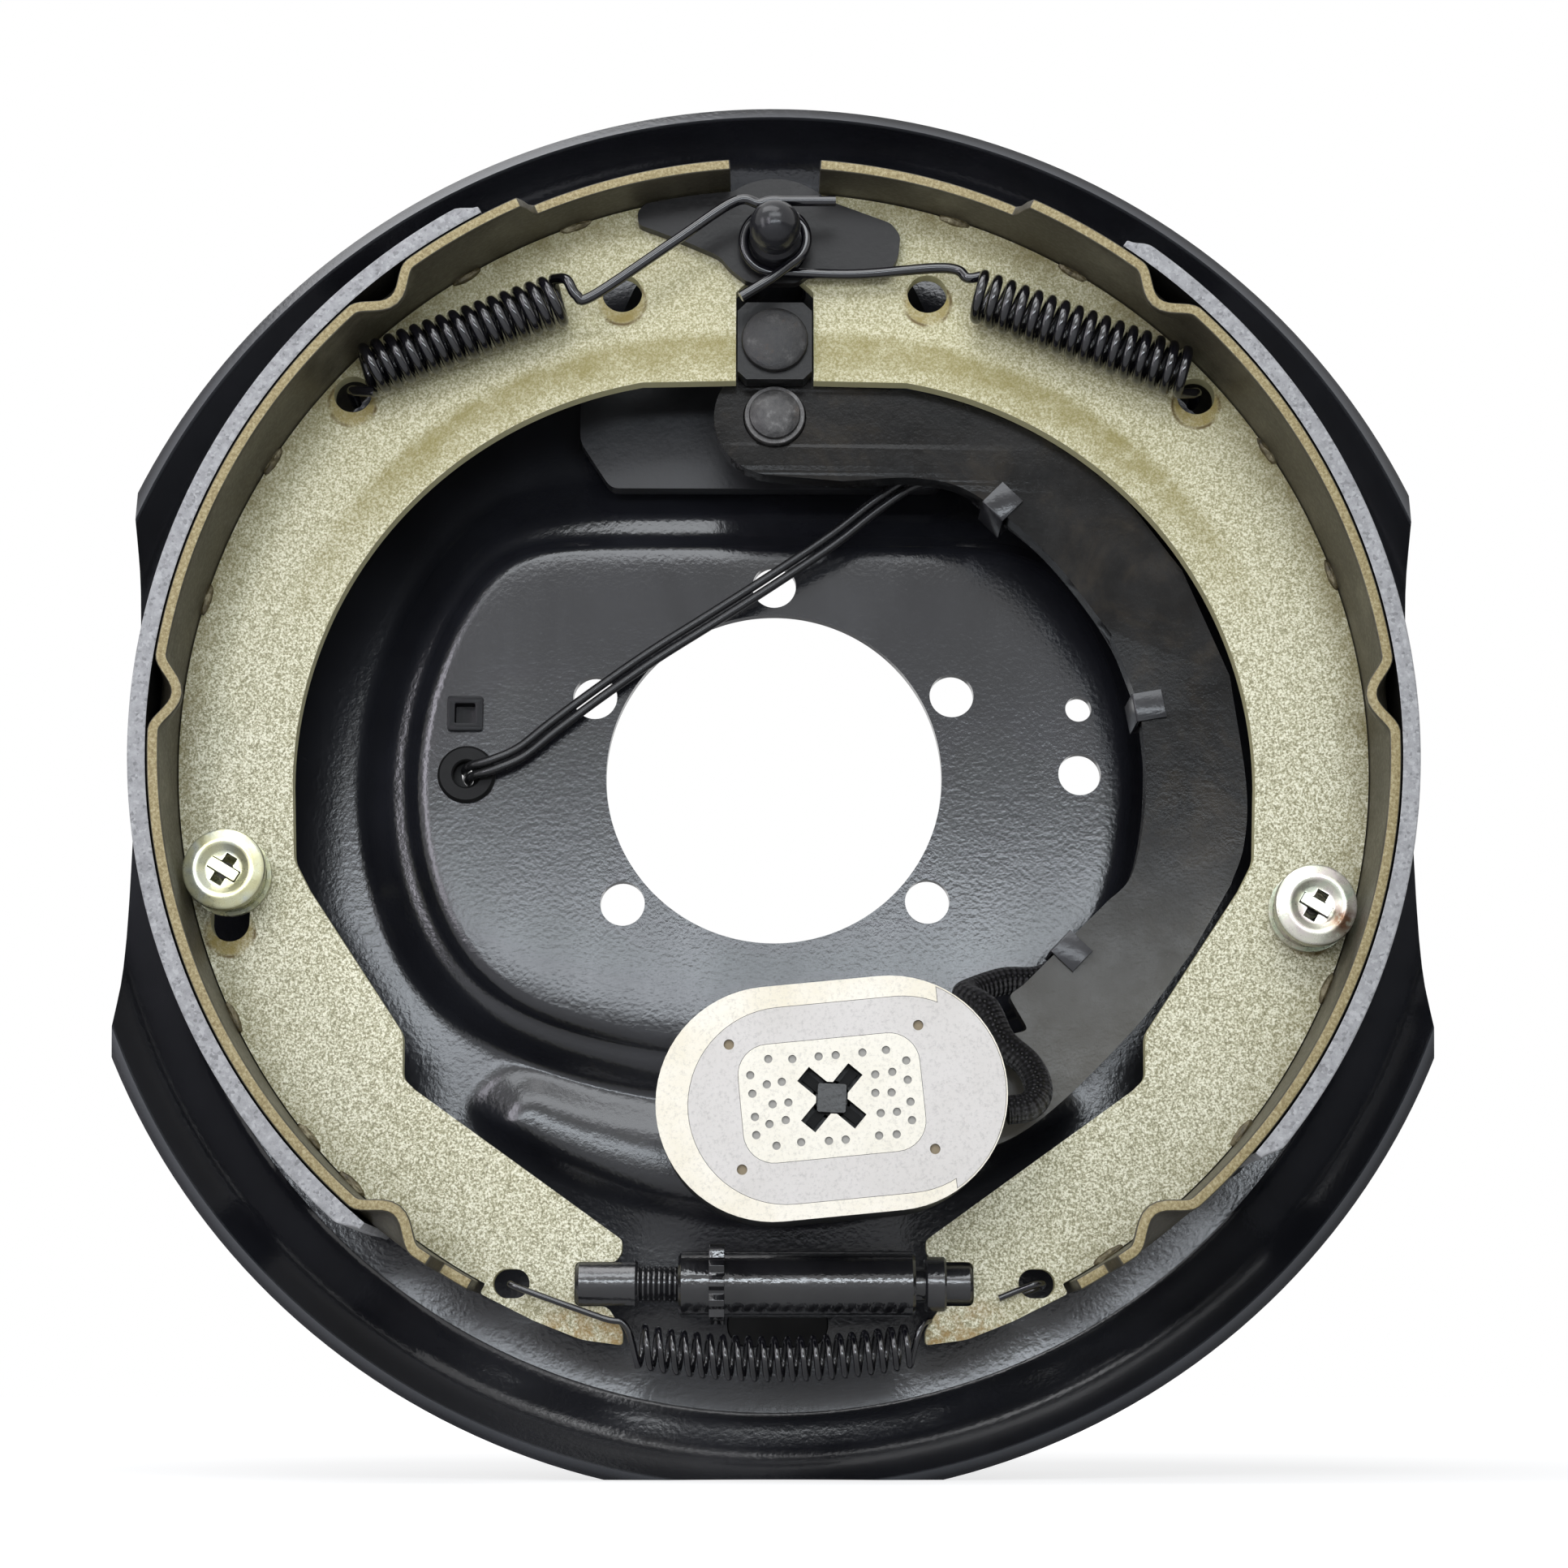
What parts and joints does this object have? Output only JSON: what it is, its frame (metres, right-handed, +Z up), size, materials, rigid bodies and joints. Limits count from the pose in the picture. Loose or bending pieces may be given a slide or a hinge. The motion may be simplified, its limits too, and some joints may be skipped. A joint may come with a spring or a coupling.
{
  "type": "electric trailer brake assembly",
  "caption": "Electric drum brake for a trailer wheel: backing plate, two lined shoes, springs, screw adjuster and a lever with an electromagnet.",
  "frame": {"origin": "centre of the hub hole on the rear mounting face", "axes": "+Y along the wheel axle, away from the drum; +Z up towards the anchor post; +X to the right as seen from the drum side"},
  "size_m": [0.3248, 0.0792, 0.3507],
  "materials": {
    "backing_plate": "semi-gloss black",
    "anchor_bracket": "semi-gloss black",
    "anchor_post": "semi-gloss black",
    "guide_plate": "semi-gloss black",
    "pivot_pin": "semi-gloss black",
    "secondary_return_spring": "semi-gloss black",
    "primary_return_spring": "semi-gloss black",
    "adjuster_socket": "semi-gloss black",
    "adjuster_spring": "semi-gloss black",
    "secondary_hold_down_pin": "zinc plated, iridescent",
    "secondary_hold_down_rear_cup": "zinc plated, iridescent",
    "secondary_hold_down_spring": "zinc plated, iridescent",
    "secondary_hold_down_front_cup": "zinc plated, iridescent",
    "primary_hold_down_pin": "zinc plated, iridescent",
    "primary_hold_down_rear_cup": "zinc plated, iridescent",
    "primary_hold_down_spring": "zinc plated, iridescent",
    "primary_hold_down_front_cup": "zinc plated, iridescent",
    "wire_grommet": "matt",
    "square_plug": "satin",
    "adjuster_slot_plug": "matt",
    "lead_wire_1": "glossy insulation",
    "lead_wire_2": "glossy insulation",
    "secondary_shoe_web": "grainy, yellowish passivated",
    "secondary_shoe_table": "grainy, yellowish passivated",
    "secondary_lining": "matt speckled grey friction material",
    "primary_shoe_web": "grainy, yellowish passivated",
    "primary_shoe_table": "grainy, yellowish passivated",
    "primary_lining": "matt speckled grey friction material",
    "lever_arm": "semi-gloss black",
    "lever_bushing": "semi-gloss black",
    "block_stud": "semi-gloss black",
    "lever_clip_1": "semi-gloss black",
    "lever_clip_2": "semi-gloss black",
    "lever_clip_3": "semi-gloss black",
    "magnet_pin": "semi-gloss black",
    "magnet_spring": "bright",
    "braided_sleeve": "woven",
    "actuator_block": "semi-gloss black",
    "magnet_shell": "matt cream coating",
    "magnet_core": "matt cream coating",
    "magnet_coil": "enamelled copper winding",
    "friction_pad": "matt",
    "adjuster_barrel": "semi-gloss black",
    "adjuster_stud": "semi-gloss black"
  },
  "bodies": {
    "backing": {"backing_plate": "backing_plate", "anchor_bracket": "anchor_bracket", "anchor_post": "anchor_post", "guide_plate": "guide_plate", "pivot_pin": "pivot_pin", "secondary_return_spring": "secondary_return_spring", "primary_return_spring": "primary_return_spring", "adjuster_socket": "adjuster_socket", "adjuster_spring": "adjuster_spring", "secondary_hold_down_pin": "secondary_hold_down_pin", "secondary_hold_down_rear_cup": "secondary_hold_down_rear_cup", "secondary_hold_down_spring": "secondary_hold_down_spring", "secondary_hold_down_front_cup": "secondary_hold_down_front_cup", "primary_hold_down_pin": "primary_hold_down_pin", "primary_hold_down_rear_cup": "primary_hold_down_rear_cup", "primary_hold_down_spring": "primary_hold_down_spring", "primary_hold_down_front_cup": "primary_hold_down_front_cup", "wire_grommet": "wire_grommet", "square_plug": "square_plug", "adjuster_slot_plug": "adjuster_slot_plug", "lead_wire_1": "lead_wire_1", "lead_wire_2": "lead_wire_2"},
    "secondary_shoe": {"secondary_shoe_web": "secondary_shoe_web", "secondary_shoe_table": "secondary_shoe_table", "secondary_lining": "secondary_lining"},
    "primary_shoe": {"primary_shoe_web": "primary_shoe_web", "primary_shoe_table": "primary_shoe_table", "primary_lining": "primary_lining"},
    "lever": {"lever_arm": "lever_arm", "lever_bushing": "lever_bushing", "block_stud": "block_stud", "lever_clip_1": "lever_clip_1", "lever_clip_2": "lever_clip_2", "lever_clip_3": "lever_clip_3", "magnet_pin": "magnet_pin", "magnet_spring": "magnet_spring", "braided_sleeve": "braided_sleeve"},
    "block": {"actuator_block": "actuator_block"},
    "magnet": {"magnet_shell": "magnet_shell", "magnet_core": "magnet_core", "magnet_coil": "magnet_coil", "friction_pad": "friction_pad"},
    "adjuster_barrel": {"adjuster_barrel": "adjuster_barrel"},
    "adjuster_stud": {"adjuster_stud": "adjuster_stud"}
  },
  "joints": [
    {"name": "lever_swing", "type": "hinge", "parent": "backing", "child": "lever", "pos_m": [0, -0.0301, 0.0865], "axis": [0, 1, 0], "range_deg": [0, 6], "stiffness_Nm_per_rad": 3.2, "springref_deg": -45.84},
    {"name": "primary_shoe_swing", "type": "hinge", "parent": "backing", "child": "primary_shoe", "pos_m": [0.0464, -0.0324, -0.1277], "axis": [0, 1, 0], "range_deg": [0, 0.54]},
    {"name": "block_turn", "type": "hinge", "parent": "lever", "child": "block", "pos_m": [0, -0.0324, 0.1045], "axis": [0, 1, 0], "range_deg": [-6, 0]},
    {"name": "magnet_slide", "type": "slide", "parent": "lever", "child": "magnet", "axis": [0, 1, 0], "range_m": [0, 0.0035], "stiffness_N_per_m": 1500, "springref_m": -0.006},
    {"name": "star_wheel_turn", "type": "hinge", "parent": "backing", "child": "adjuster_barrel", "pos_m": [0, -0.0324, -0.1277], "axis": [1, 0, 0], "range_deg": [0, 720]},
    {"name": "stud_advance", "type": "slide", "parent": "backing", "child": "adjuster_stud", "axis": [-1, 0, 0], "range_m": [0, 0.0025]},
    {"name": "secondary_shoe_spread", "type": "hinge", "parent": "backing", "child": "secondary_shoe", "pos_m": [0, -0.0324, 0.1288], "axis": [0, 1, 0], "range_deg": [0, 0.569]}
  ],
  "couplings": [
    {"joint": "primary_shoe_swing", "follows": "lever_swing", "ratio": 0.09},
    {"joint": "block_turn", "follows": "lever_swing", "ratio": -1},
    {"joint": "stud_advance", "follows": "secondary_shoe_spread", "m_per_rad": 0.2506},
    {"joint": "star_wheel_turn", "follows": "secondary_shoe_spread", "ratio": 1265}
  ]
}
